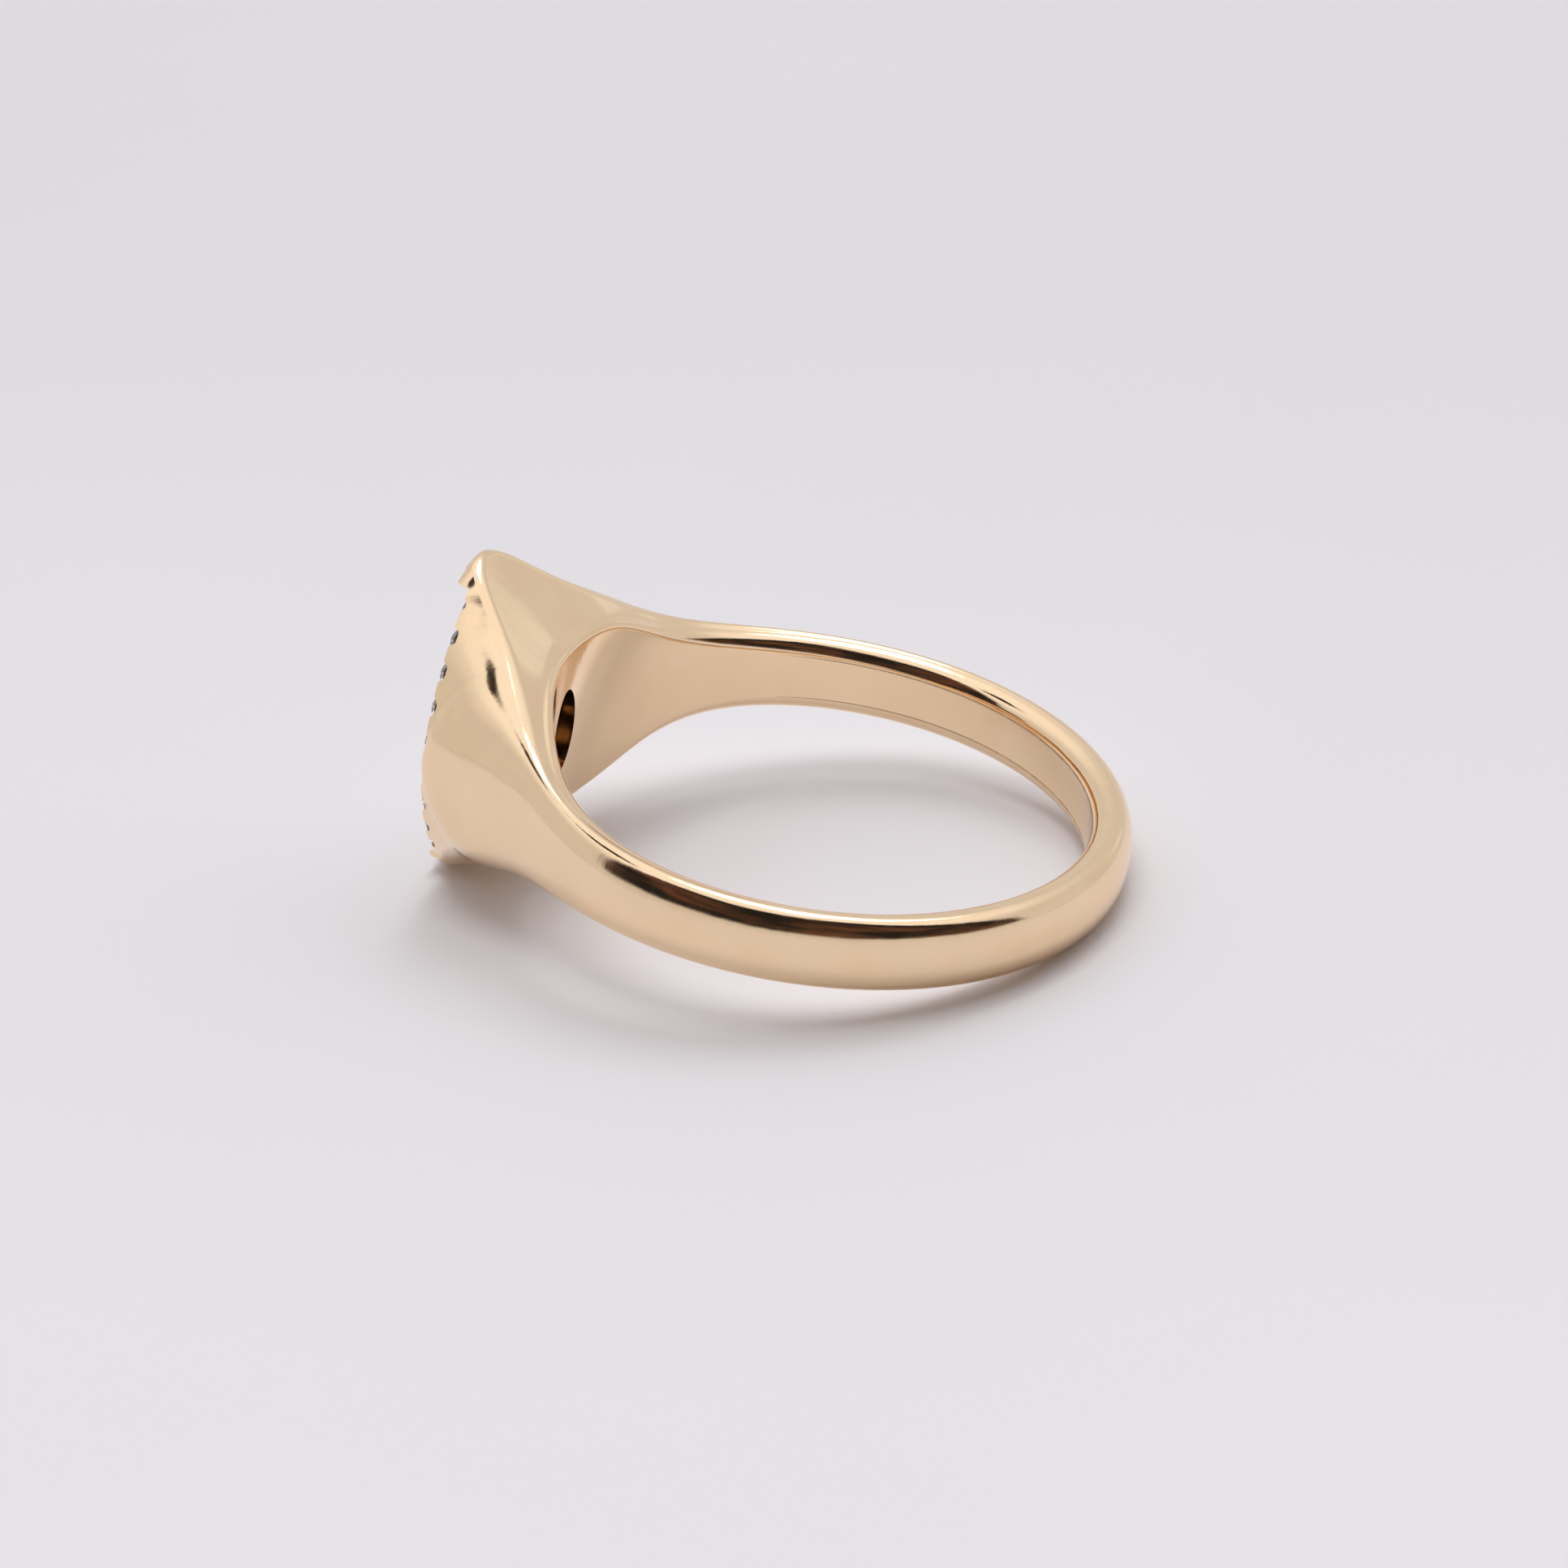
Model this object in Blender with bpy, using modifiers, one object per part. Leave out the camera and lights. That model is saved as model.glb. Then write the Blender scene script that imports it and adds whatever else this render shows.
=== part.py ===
"""Gold signet ring, lying on its side: a tapering band, shoulders that rise to a pointed oval head with
raised end lips, and a flat face set with rows of small round stones. Sizes are in metres."""

import math

import bmesh
import bpy
from mathutils import Matrix, Vector

# Finger hole and band
FINGER_RADIUS = 0.0085
BAND_WIDTH = 0.00236
BAND_BACK_THICKNESS = 0.00133
BAND_SIDE_THICKNESS = 0.00125
BAND_SIDE_FLAT = 0.0006
BAND_CROWN = 2.2
SIDE_HOLLOW = 1.1
BAND_EDGE_ROUND = 0.00042
HEAD_EDGE_ROUND = 0.00026

# Shoulders: the finger surface widens, and the side edges climb to the tips of the head
HEAD_INNER_WIDTH = 0.0060
SHOULDER_ANGLE = math.radians(33.6)
SHOULDER_POWER = 4.3
EDGE_ANGLE = math.radians(12.5)
EDGE_POWER = 2.25
SHOULDER_FALL = math.radians(12.0)
SHOULDER_FALL_POWER = 1.5
WALL_CROWN = 1.85

# Head: height of the face, of the tips' lower edge and of the end lips over the finger surface
FACE_RISE = 0.00313
TIP_EDGE_RISE = 0.00323
TIP_OVERHANG = 0.00025
LIP_RISE = 0.00064
LIP_SOFTNESS = 0.0002
FACE_LENGTH = 0.0104
FACE_WIDTH = 0.0080
FACE_POINT = 1.7
TIP_ROUND = 0.00004
LIP_LENGTH = 0.0004
FACE_SKIM = 0.00003

# Stones and their seats
STONE_RADIUS = 0.00048
STONE_TABLE_RADIUS = 0.00028
STONE_CROWN = 0.00016
STONE_GIRDLE = 0.00004
STONE_PAVILION = 0.00042
STONE_SIDES = 10
STONE_DEPTH = 0.00012
RIM_INSET = 0.00036
TIP_INSET = 0.0005
SEAT_WEB = 0.00005
SEAT_CLEARANCE = 0.00002
PILOT_RADIUS = 0.0002
PILOT_DEPTH = 0.0001
BEAD_RADIUS = 0.00012

# Oval window that opens the head to the finger
WINDOW_LENGTH = 0.0027
WINDOW_WIDTH = 0.0016
WINDOW_FLARE = 1.25
PLATE_THICKNESS = 0.00062

FACE_STEPS = 9
SHOULDER_STEPS = 14
BAND_STEPS = 12
WALL_STEPS = 7
FACE_ROWS = 8

FACE_LEVEL = FINGER_RADIUS + FACE_RISE
TIP_EDGE_LENGTH = FACE_LENGTH + 2 * TIP_OVERHANG
SET_LENGTH = FACE_LENGTH - 2 * LIP_LENGTH
SIDE_ANGLE = math.atan2(FACE_WIDTH / 2, FACE_LEVEL)
STONE_PITCH = 2 * (STONE_RADIUS + SEAT_CLEARANCE) + SEAT_WEB


def clear_scene():
    for obj in list(bpy.data.objects):
        bpy.data.objects.remove(obj, do_unlink=True)


def make_collection(name):
    collection = bpy.data.collections.new(name)
    bpy.context.scene.collection.children.link(collection)
    return collection


def make_material(name, colour, roughness, metallic, transmission=0.0):
    material = bpy.data.materials.new(name)
    material.use_nodes = True
    shader = material.node_tree.nodes["Principled BSDF"]
    shader.inputs["Base Color"].default_value = (*colour, 1.0)
    shader.inputs["Roughness"].default_value = roughness
    shader.inputs["Metallic"].default_value = metallic
    shader.inputs["Transmission Weight"].default_value = transmission
    material.diffuse_color = (*colour, 1.0)
    return material


def fade(turn, angle, power):
    """One at the middle of the head, half at the angle, nothing at the back of the band."""
    return 1.0 / (1.0 + (turn / angle) ** power)


def smooth(value, low, high):
    share = min(max((value - low) / (high - low), 0.0), 1.0)
    return share * share * (3.0 - 2.0 * share)


def face_half_width(along):
    """Half width of the face at a distance along the finger from its middle."""
    share = min(abs(along) / (FACE_LENGTH / 2), 1.0)
    return FACE_WIDTH / 2 * (1.0 - share ** FACE_POINT) ** (1.0 / FACE_POINT)


def face_half_length(across):
    share = min(abs(across) / (FACE_WIDTH / 2), 1.0)
    return (FACE_LENGTH / 2 - TIP_ROUND) * (1.0 - share ** FACE_POINT) ** (1.0 / FACE_POINT)


def cast_level(along, rise=LIP_RISE):
    """Height of the head before the face is cut: the end lips stand over the set length."""
    lip = smooth(abs(along), SET_LENGTH / 2 - LIP_RISE, SET_LENGTH / 2)
    return FACE_LEVEL + FACE_SKIM + rise * lip


def inner_half_width(turn):
    spread = (HEAD_INNER_WIDTH - BAND_WIDTH) / 2
    return BAND_WIDTH / 2 + spread * fade(turn, SHOULDER_ANGLE, SHOULDER_POWER)


def band_thickness(turn):
    swing = (1.0 - math.cos(2 * max(turn - math.pi / 2, 0.0))) / 2
    return BAND_SIDE_THICKNESS + (BAND_BACK_THICKNESS - BAND_SIDE_THICKNESS) * swing


def half_section(turn):
    """Upper half outline of the ring at an angle from the head, as (radius, height) points: from the
    middle of the finger surface, over the side edge and up the wall, to the rim or the crown line.
    The second list holds the points over the face, down to its middle."""
    inner = inner_half_width(turn)
    thickness = band_thickness(turn)
    climb = fade(turn, EDGE_ANGLE, EDGE_POWER)
    flat = BAND_SIDE_FLAT * thickness / BAND_SIDE_THICKNESS
    edge_radius = FINGER_RADIUS + flat + (TIP_EDGE_RISE - BAND_SIDE_FLAT) * climb
    edge = inner + (TIP_EDGE_LENGTH - HEAD_INNER_WIDTH) / 2 * climb
    widening = fade(turn, SHOULDER_ANGLE, SHOULDER_POWER)
    edge_round = BAND_EDGE_ROUND + (HEAD_EDGE_ROUND - BAND_EDGE_ROUND) * widening

    points = [(FINGER_RADIUS, 0.0), (FINGER_RADIUS, inner * 0.55)]
    for step in range(3):
        bend = math.pi / 4 * step
        points.append((FINGER_RADIUS + edge_round * (1 - math.cos(bend)),
                       inner - edge_round * (1 - math.sin(bend))))
    low = (FINGER_RADIUS + edge_round, inner)
    for share in (0.3, 0.65):
        points.append((low[0] + (edge_radius - low[0]) * share,
                       inner + (edge - inner) * share ** SIDE_HOLLOW))

    on_face = turn < SIDE_ANGLE - 1e-9
    if on_face:
        rim_height = face_half_length(FACE_LEVEL * math.tan(turn))
        rim_radius = cast_level(rim_height, LIP_RISE - LIP_SOFTNESS) / math.cos(turn)
        power = WALL_CROWN
        end = math.acos(min(rim_height / edge, 1.0) ** (power / 2))
        reach = (rim_radius - edge_radius) / math.sin(end) ** (2 / power)
    else:
        past = turn - SIDE_ANGLE
        fall = math.exp(-(past / SHOULDER_FALL) ** SHOULDER_FALL_POWER)
        side_radius = cast_level(0.0) / math.cos(SIDE_ANGLE)
        band_radius = FINGER_RADIUS + thickness
        power = WALL_CROWN + (BAND_CROWN - WALL_CROWN) * (1.0 - fall)
        end = math.pi / 2
        reach = band_radius + (side_radius - band_radius) * fall - edge_radius
    for step in range(WALL_STEPS + 1):
        bend = end * step / WALL_STEPS
        width = max(math.cos(bend), 0.0) ** (2 / power)
        lift = math.sin(bend) ** (2 / power)
        points.append((edge_radius + reach * lift, edge * width))
    if not on_face:
        points[-1] = (points[-1][0], 0.0)
        return points, []
    over = []
    for step in range(1, FACE_ROWS // 2 + 1):
        height = rim_height * (1.0 - step / (FACE_ROWS // 2))
        over.append((cast_level(height) / math.cos(turn), height))
    return points, over


def ring_turns():
    turns = []
    for step in range(FACE_STEPS):
        across = FACE_WIDTH / 2 * math.sin(math.pi / 2 * step / FACE_STEPS)
        turns.append(math.atan2(across, FACE_LEVEL))
    band_start = math.radians(80)
    for step in range(SHOULDER_STEPS):
        turns.append(SIDE_ANGLE + (band_start - SIDE_ANGLE) * (step / SHOULDER_STEPS) ** 1.15)
    for step in range(BAND_STEPS + 1):
        turns.append(band_start + (math.pi - band_start) * step / BAND_STEPS)
    return [-turn for turn in turns[-2:0:-1]] + turns


def build_casting():
    """Loft of the changing section once round the finger. Over the face the upper and lower walls part,
    and the face closes the gap; at the face's two sides they meet again on the crown line."""
    mesh = bmesh.new()
    rows = []
    for turn in ring_turns():
        def place(radius, height, turn=turn):
            return mesh.verts.new((-radius * math.cos(turn), radius * math.sin(turn), height))

        half, over = half_section(abs(turn))
        upper = [place(radius, height) for radius, height in half]
        last = len(half) if over else len(half) - 1
        lower = [upper[0]] + [place(radius, -height) for radius, height in half[1:last]]
        if not over:
            lower.append(upper[-1])
        face = [upper[-1]] + [place(radius, height) for radius, height in over]
        face += [place(radius, -height) for radius, height in over[-2::-1]] + ([lower[-1]] if over else [])
        rows.append((upper, lower, face))
    for (upper, lower, face), (upper2, lower2, face2) in zip(rows, rows[1:] + rows[:1]):
        for first, second in ((upper, upper2), (lower2, lower)):
            for index in range(len(first) - 1):
                mesh.faces.new((first[index], first[index + 1], second[index + 1], second[index]))
        if len(face) > 1 and len(face2) > 1:
            for index in range(len(face) - 1):
                mesh.faces.new((face[index], face[index + 1], face2[index + 1], face2[index]))
        elif len(face) > 1 or len(face2) > 1:
            row = face if len(face) > 1 else face2
            point = face2[0] if len(face) > 1 else face[0]
            for index in range(len(row) - 1):
                mesh.faces.new((row[index], row[index + 1], point))
    bmesh.ops.recalc_face_normals(mesh, faces=mesh.faces)
    return mesh


def finish_mesh(mesh, name, smooth_angle=None):
    data = bpy.data.meshes.new(name)
    mesh.to_mesh(data)
    mesh.free()
    if smooth_angle is not None:
        data.shade_smooth()
        data.set_sharp_from_angle(angle=smooth_angle)
    return data


def add_object(data, name, collection, parent=None, material=None):
    obj = bpy.data.objects.new(name, data)
    collection.objects.link(obj)
    obj.parent = parent
    if material is not None:
        data.materials.append(material)
    return obj


def add_turned(name, profile, sides, collection, parent, material):
    """Solid turned round Z from an outline of (radius, height) that starts and ends on the axis."""
    mesh = bmesh.new()
    verts = [mesh.verts.new((radius, 0.0, height)) for radius, height in profile]
    for first, second in zip(verts, verts[1:]):
        mesh.edges.new((first, second))
    obj = add_object(finish_mesh(mesh, name), name, collection, parent, material)
    turn = obj.modifiers.new("turn", "SCREW")
    turn.steps = sides
    turn.render_steps = sides
    turn.use_merge_vertices = True
    turn.merge_threshold = 0.000001
    turn.use_smooth_shade = False
    return obj


def hide_tool(obj):
    obj.hide_render = True
    obj.display_type = "WIRE"


def face_frame(across, along):
    """Place on the face, with its own Z pointing out of the head."""
    place = Matrix(((0.0, 0.0, -1.0), (1.0, 0.0, 0.0), (0.0, -1.0, 0.0))).to_4x4()
    place.translation = Vector((-FACE_LEVEL, across, along))
    return place


def walk_outline(half_width, half_length, offset):
    """Places at an even pitch once round a pointed oval; the first one lies off its side by an offset."""
    steps = 720
    outline = []
    for step in range(steps + 1):
        cosine = math.cos(math.tau * step / steps)
        sine = math.sin(math.tau * step / steps)
        outline.append((math.copysign(abs(cosine) ** (2 / FACE_POINT), cosine) * half_width,
                        math.copysign(abs(sine) ** (2 / FACE_POINT), sine) * half_length))
    lengths = [math.dist(first, second) for first, second in zip(outline, outline[1:])]
    count = 2 * int(sum(lengths) / STONE_PITCH / 2)
    places = []
    gone = 0.0
    for (first, second), length in zip(zip(outline, outline[1:]), lengths):
        target = (len(places) + offset) * sum(lengths) / max(count, 1)
        if len(places) < count and gone + length > target:
            share = max(target - gone, 0.0) / length
            places.append((first[0] + (second[0] - first[0]) * share,
                           first[1] + (second[1] - first[1]) * share))
        gone += length
    return places


def stone_places():
    """Rings of stones that follow the outline of the face, with a pair in the middle."""
    step = STONE_PITCH + SEAT_CLEARANCE * 2
    across = FACE_WIDTH / 2 - RIM_INSET
    along = FACE_LENGTH / 2 - TIP_INSET
    rings = []
    for name, offset in (("rim", 0.5), ("second", 0.0), ("third", 0.5)):
        if min(across, along) > STONE_PITCH:
            rings.append((name, walk_outline(across, along, offset)))
        across -= step
        along -= step * FACE_LENGTH / FACE_WIDTH
    rings.append(("centre", [(0.0, STONE_PITCH * 0.53), (0.0, -STONE_PITCH * 0.53)]))
    kept = []
    for name, places in rings:
        for number, place in enumerate(places, 1):
            if all(math.dist(place, other) > STONE_PITCH - SEAT_WEB * 0.6 for _, other in kept):
                kept.append((f"stone_{name}_{number}", place))
    return kept


def bead_places():
    """Beads stand wherever the seats leave room for one, alike in the four quarters of the face."""
    stones = [place for _, place in stone_places()]
    room = STONE_RADIUS + SEAT_CLEARANCE + BEAD_RADIUS * 0.8
    grid = BEAD_RADIUS / 3
    found = []
    for row in range(int(SET_LENGTH / 2 / grid)):
        along = row * grid
        for column in range(int(FACE_WIDTH / 2 / grid)):
            across = column * grid
            if 0 < across < 1.2 * BEAD_RADIUS or 0 < along < 1.2 * BEAD_RADIUS:
                continue
            if across > face_half_width(along) - RIM_INSET:
                continue
            gap = min(math.dist((across, along), stone) for stone in stones)
            if gap > room:
                found.append((-round(gap, 7), across, along))
    places = []
    for _, across, along in sorted(found):
        if all(math.dist((across, along), other) > 3 * BEAD_RADIUS for other in places):
            places.append((across, along))
    signs = ((1, 1), (-1, 1), (1, -1), (-1, -1))
    mirrored = {(across * side + 0.0, along * end + 0.0) for across, along in places for side, end in signs}
    return sorted(mirrored)


def stone_profile():
    girdle_top = -STONE_DEPTH
    girdle_low = girdle_top - STONE_GIRDLE
    return [
        (0.0, girdle_top + STONE_CROWN),
        (STONE_TABLE_RADIUS, girdle_top + STONE_CROWN),
        (STONE_RADIUS, girdle_top),
        (STONE_RADIUS, girdle_low),
        (0.0, girdle_low - STONE_PAVILION),
    ]


def seat_profile():
    """Seat drill: a bore for the girdle, a bearing cone under the stone and a pilot hole."""
    bore = STONE_RADIUS + SEAT_CLEARANCE
    ledge = -STONE_DEPTH - STONE_GIRDLE - SEAT_CLEARANCE
    pilot = ledge - (bore - PILOT_RADIUS) * STONE_PAVILION / STONE_RADIUS
    top = LIP_RISE + STONE_RADIUS
    bottom = -STONE_DEPTH - STONE_GIRDLE - STONE_PAVILION - PILOT_DEPTH
    return [
        (0.0, top),
        (bore, top),
        (bore, ledge),
        (PILOT_RADIUS, pilot),
        (PILOT_RADIUS, bottom),
        (0.0, bottom),
    ]


def add_seat_drills(name, sides, collection, parent):
    """The same turned drill at every stone, in one mesh."""
    mesh = bmesh.new()
    for _, (across, along) in stone_places():
        place = face_frame(across, along)
        rings = []
        for radius, height in seat_profile():
            count = sides if radius > 0 else 1
            rings.append([
                mesh.verts.new(place @ Vector((radius * math.cos(math.tau * index / sides),
                                               radius * math.sin(math.tau * index / sides), height)))
                for index in range(count)
            ])
        for upper, lower in zip(rings, rings[1:]):
            for index in range(sides):
                following = (index + 1) % sides
                corners = [upper[index % len(upper)], lower[index % len(lower)],
                           lower[following % len(lower)], upper[following % len(upper)]]
                mesh.faces.new(list(dict.fromkeys(corners)))
    bmesh.ops.recalc_face_normals(mesh, faces=mesh.faces)
    return add_object(finish_mesh(mesh, name), name, collection, parent)


def add_beads(name, collection, parent):
    mesh = bmesh.new()
    for across, along in bead_places():
        bmesh.ops.create_uvsphere(mesh, u_segments=6, v_segments=4, radius=BEAD_RADIUS,
                                  matrix=face_frame(across, along))
    return add_object(finish_mesh(mesh, name), name, collection, parent)


def add_face_cutter(name, collection, parent):
    """Block that levels the face between the two end lips."""
    depth = LIP_RISE * 4
    mesh = bmesh.new()
    size = Matrix.Diagonal((depth, FACE_WIDTH * 1.5, SET_LENGTH, 1.0))
    place = Matrix.Translation((-FACE_LEVEL - depth / 2, 0.0, 0.0))
    bmesh.ops.create_cube(mesh, size=1.0, matrix=place @ size)
    return add_object(finish_mesh(mesh, name), name, collection, parent)


def add_window_drill(name, collection, parent):
    """Oval drill, from inside the finger hole up to the plate that carries the stones."""
    low = FINGER_RADIUS * 0.75
    high = FACE_LEVEL - PLATE_THICKNESS
    mesh = bmesh.new()
    turn = Matrix.Rotation(-math.pi / 2, 4, "Y")
    oval = Matrix.Diagonal((WINDOW_LENGTH / 2, WINDOW_WIDTH / 2, 1.0, 1.0))
    place = Matrix.Translation((-(low + high) / 2, 0.0, 0.0)) @ turn @ oval
    bmesh.ops.create_cone(mesh, cap_ends=True, segments=32, radius1=1.0, radius2=WINDOW_FLARE,
                          depth=high - low, matrix=place)
    return add_object(finish_mesh(mesh, name), name, collection, parent)


def add_boolean(obj, tool, operation):
    step = obj.modifiers.new(tool.name, "BOOLEAN")
    step.operation = operation
    step.solver = "EXACT"
    step.object = tool


def rest_pose(points):
    """Lean at which the head's lower tip and the back of the band both touch the table."""
    def drop(lean):
        sine = math.sin(lean)
        cosine = math.cos(lean)
        heights = [(p.x, p.z * cosine - p.x * sine) for p in points]
        head = min(height for x, height in heights if x < 0)
        back = min(height for x, height in heights if x >= 0)
        return head - back

    low = 0.0
    high = math.radians(40)
    for _ in range(60):
        middle = (low + high) / 2
        if drop(middle) < 0:
            low = middle
        else:
            high = middle
    lean = Matrix.Rotation((low + high) / 2, 4, "Y")
    turned = [lean @ p for p in points]
    lift = -min(p.z for p in turned)
    shift = -(min(p.x for p in turned) + max(p.x for p in turned)) / 2
    return Matrix.Translation((shift, 0.0, lift)) @ lean


def main():
    clear_scene()
    ring = make_collection("signet_ring")
    tools = make_collection("signet_ring_tools")
    gold = make_material("polished_gold", (0.80, 0.58, 0.35), 0.12, 1.0)
    crystal = make_material("clear_stone", (0.90, 0.90, 0.93), 0.03, 0.0, 0.9)

    casting_mesh = build_casting()
    outline = [vert.co.copy() for vert in casting_mesh.verts]

    pose = bpy.data.objects.new("ring_pose", None)
    ring.objects.link(pose)
    pose.matrix_world = rest_pose(outline)

    data = finish_mesh(casting_mesh, "ring_casting", math.radians(32))
    casting = add_object(data, "ring_casting", ring, pose, gold)

    leveller = add_face_cutter("face_cutter", tools, pose)
    beads = add_beads("setting_beads", tools, pose)
    window = add_window_drill("window_drill", tools, pose)
    seats = add_seat_drills("seat_drills", STONE_SIDES, tools, pose)
    for tool in (leveller, beads, window, seats):
        hide_tool(tool)
    add_boolean(casting, leveller, "DIFFERENCE")
    add_boolean(casting, beads, "UNION")
    add_boolean(casting, window, "DIFFERENCE")
    add_boolean(casting, seats, "DIFFERENCE")

    for name, (across, along) in stone_places():
        stone = add_turned(name, stone_profile(), STONE_SIDES, ring, pose, crystal)
        stone.matrix_local = face_frame(across, along)


main()
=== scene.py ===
"""Dressed scene of the gold signet ring, lying on a pale table. Metres, the part's own frame."""

import math

import bmesh
import bpy
from mathutils import Matrix, Vector


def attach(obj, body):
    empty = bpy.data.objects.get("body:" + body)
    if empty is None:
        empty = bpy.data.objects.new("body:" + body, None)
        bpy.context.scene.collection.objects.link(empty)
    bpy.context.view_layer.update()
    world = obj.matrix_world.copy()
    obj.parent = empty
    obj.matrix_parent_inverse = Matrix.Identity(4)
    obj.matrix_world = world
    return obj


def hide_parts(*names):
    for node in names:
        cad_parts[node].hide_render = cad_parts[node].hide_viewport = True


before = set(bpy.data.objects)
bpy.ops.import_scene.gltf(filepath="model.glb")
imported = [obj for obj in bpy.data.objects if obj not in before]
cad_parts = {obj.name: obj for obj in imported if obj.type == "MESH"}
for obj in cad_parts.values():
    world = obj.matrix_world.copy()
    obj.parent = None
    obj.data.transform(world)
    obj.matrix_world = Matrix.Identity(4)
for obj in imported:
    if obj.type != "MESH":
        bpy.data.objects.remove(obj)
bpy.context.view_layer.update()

# The ring's own sizes, in its upright frame: head towards -X, finger axis along Z
FINGER_RADIUS = 0.0085
BAND_WIDTH = 0.00236
BAND_BACK_THICKNESS = 0.00133
BAND_SIDE_THICKNESS = 0.00125
BAND_SIDE_FLAT = 0.0006
BAND_CROWN = 2.2
SIDE_HOLLOW = 1.1
BAND_EDGE_ROUND = 0.00054
HEAD_EDGE_ROUND = 0.00026
HEAD_INNER_WIDTH = 0.0060
SHOULDER_ANGLE = math.radians(33.6)
SHOULDER_POWER = 4.3
SHOULDER_FALL = math.radians(12.0)
SHOULDER_FALL_POWER = 1.5
EDGE_ANGLE = math.radians(12.5)
EDGE_POWER = 2.25
EDGE_SOFTNESS = 0.00028
EDGE_SOFT_SHARE = 0.45
WALL_CROWN = 1.85
FACE_RISE = 0.00313
FACE_LENGTH = 0.0104
FACE_WIDTH = 0.0080
FACE_POINT = 1.7
FACE_SKIM = 0.00003
TIP_EDGE_RISE = 0.00323
TIP_OVERHANG = 0.00025
TIP_ROUND = 0.00004
LIP_RISE = 0.00064
LIP_LENGTH = 0.0004
LIP_SOFTNESS = 0.00022
LIP_ROUND = 0.0004
WINDOW_LENGTH = 0.0027
WINDOW_WIDTH = 0.0016
WINDOW_FLARE = 1.25
PLATE_THICKNESS = 0.00062
FACE_LEVEL = FINGER_RADIUS + FACE_RISE
TIP_EDGE_LENGTH = FACE_LENGTH + 2 * TIP_OVERHANG
SET_LENGTH = FACE_LENGTH - 2 * LIP_LENGTH
SIDE_ANGLE = math.atan2(FACE_WIDTH / 2, FACE_LEVEL)
FACE_CUT_DEPTH = LIP_RISE * 4
FACE_CUT_WIDTH = FACE_WIDTH * 1.5
WINDOW_START = FINGER_RADIUS * 0.75

# The stones, their seats and the beads that hold them
STONE_RADIUS = 0.00048
STONE_CROWN = 0.00016
STONE_GIRDLE = 0.00004
STONE_PAVILION = 0.00042
STONE_DEPTH = 0.00012
RIM_INSET = 0.00036
TIP_INSET = 0.0005
SEAT_WEB = 0.00005
SEAT_CLEARANCE = 0.00002
PILOT_RADIUS = 0.0002
PILOT_DEPTH = 0.00005
BEAD_RADIUS = 0.00012
STONE_PITCH = 2 * (STONE_RADIUS + SEAT_CLEARANCE) + SEAT_WEB
LEAST_PITCH = STONE_PITCH - SEAT_WEB * 0.6
STONE_RING_STEP = STONE_PITCH + SEAT_CLEARANCE * 2
CENTRE_STONE_OFFSET = STONE_PITCH * 0.53
SEAT_TOP = LIP_RISE + STONE_RADIUS
BEAD_ROOM = STONE_RADIUS + SEAT_CLEARANCE + BEAD_RADIUS * 0.8
BEAD_GRID = BEAD_RADIUS / 3
BEAD_LEAST_OFFSET = 1.2 * BEAD_RADIUS
BEAD_PITCH = 3 * BEAD_RADIUS

# Facets of a stone, as shares of its radius, of its crown's rise and of its pavilion's fall
STONE_SIDES = 8
TABLE_SHARE = 0.56
KITE_SHARE = 0.78
KITE_RISE = 0.56
LOWER_SHARE = 0.24
LOWER_FALL = 0.79

# How the ring lies: leaning on the lower tip of its head and the back of its band
LEAN = math.radians(11.518582)
REST_PLACE = (0.0016022, 0.0, 0.0029979)
REST = Matrix.Translation(REST_PLACE) @ Matrix.Rotation(LEAN, 4, "Y")

# The cuts are made in millimetres, because in metres the solver leaves some seats uncut.
# Slivers that they leave are measured in millimetres too.
CUT_SCALE = 1000.0
CUT_SLIVER = 0.0001

# Steps of the fine meshes. Sections crowd towards the head, and rows of the face towards its rim.
FACE_STEPS = 44
SHOULDER_STEPS = 60
SHOULDER_CROWDING = 1.15
BAND_STEPS = 56
BAND_START = math.radians(80)
INNER_SHARES = (0.0, 0.3, 0.6)
ROUND_STEPS = 8
SIDE_STEPS = 8
CORNER_STEPS = 7
WALL_STEPS = 26
FACE_HALF_ROWS = 14
FACE_CROWDING = 1.7
OUTLINE_STEPS = 720
WINDOW_SIDES = 72
SEAT_SIDES = 32
BEAD_SEGMENTS = 16
BEAD_RINGS = 10
CREASE_HALVINGS = 30
ANGLE_MARGIN = 1e-9
SHARP_ANGLE = math.radians(28)

# The table, lit by two soft lamps
FLOOR_SIZE = 3.0
FLOOR_PLACE = (0.0, 0.6, 0.0)
FLOOR_NEAR_END = -0.03
FLOOR_FAR_START = 0.05
LAMP_TARGET = (0.0, 0.0, 0.0)
LAMP_COLOUR = (1.0, 0.97, 0.94)
CEILING_LAMP_PLACE = (-0.03, -0.08, 0.60)
CEILING_LAMP_SIZE = (0.34, 0.24)
CEILING_LAMP_POWER = 0.75
BACK_LAMP_PLACE = (0.047, 0.27, 0.585)
BACK_LAMP_SIZE = (0.21, 0.30)
BACK_LAMP_POWER = 0.6

# The camera at the photograph's angle
CAMERA_PLACE = Vector((0.04648448, -0.12758461, 0.06493580))
CAMERA_FORWARD = Vector((-0.30871399, 0.85707213, -0.41245975))
CAMERA_UP = Vector((-0.07457042, 0.41049713, 0.90880765))
CAMERA_SENSOR = 36.0
CAMERA_LENS = 110.0827
CAMERA_NEAR = 0.005
CAMERA_FAR = 20.0

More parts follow.
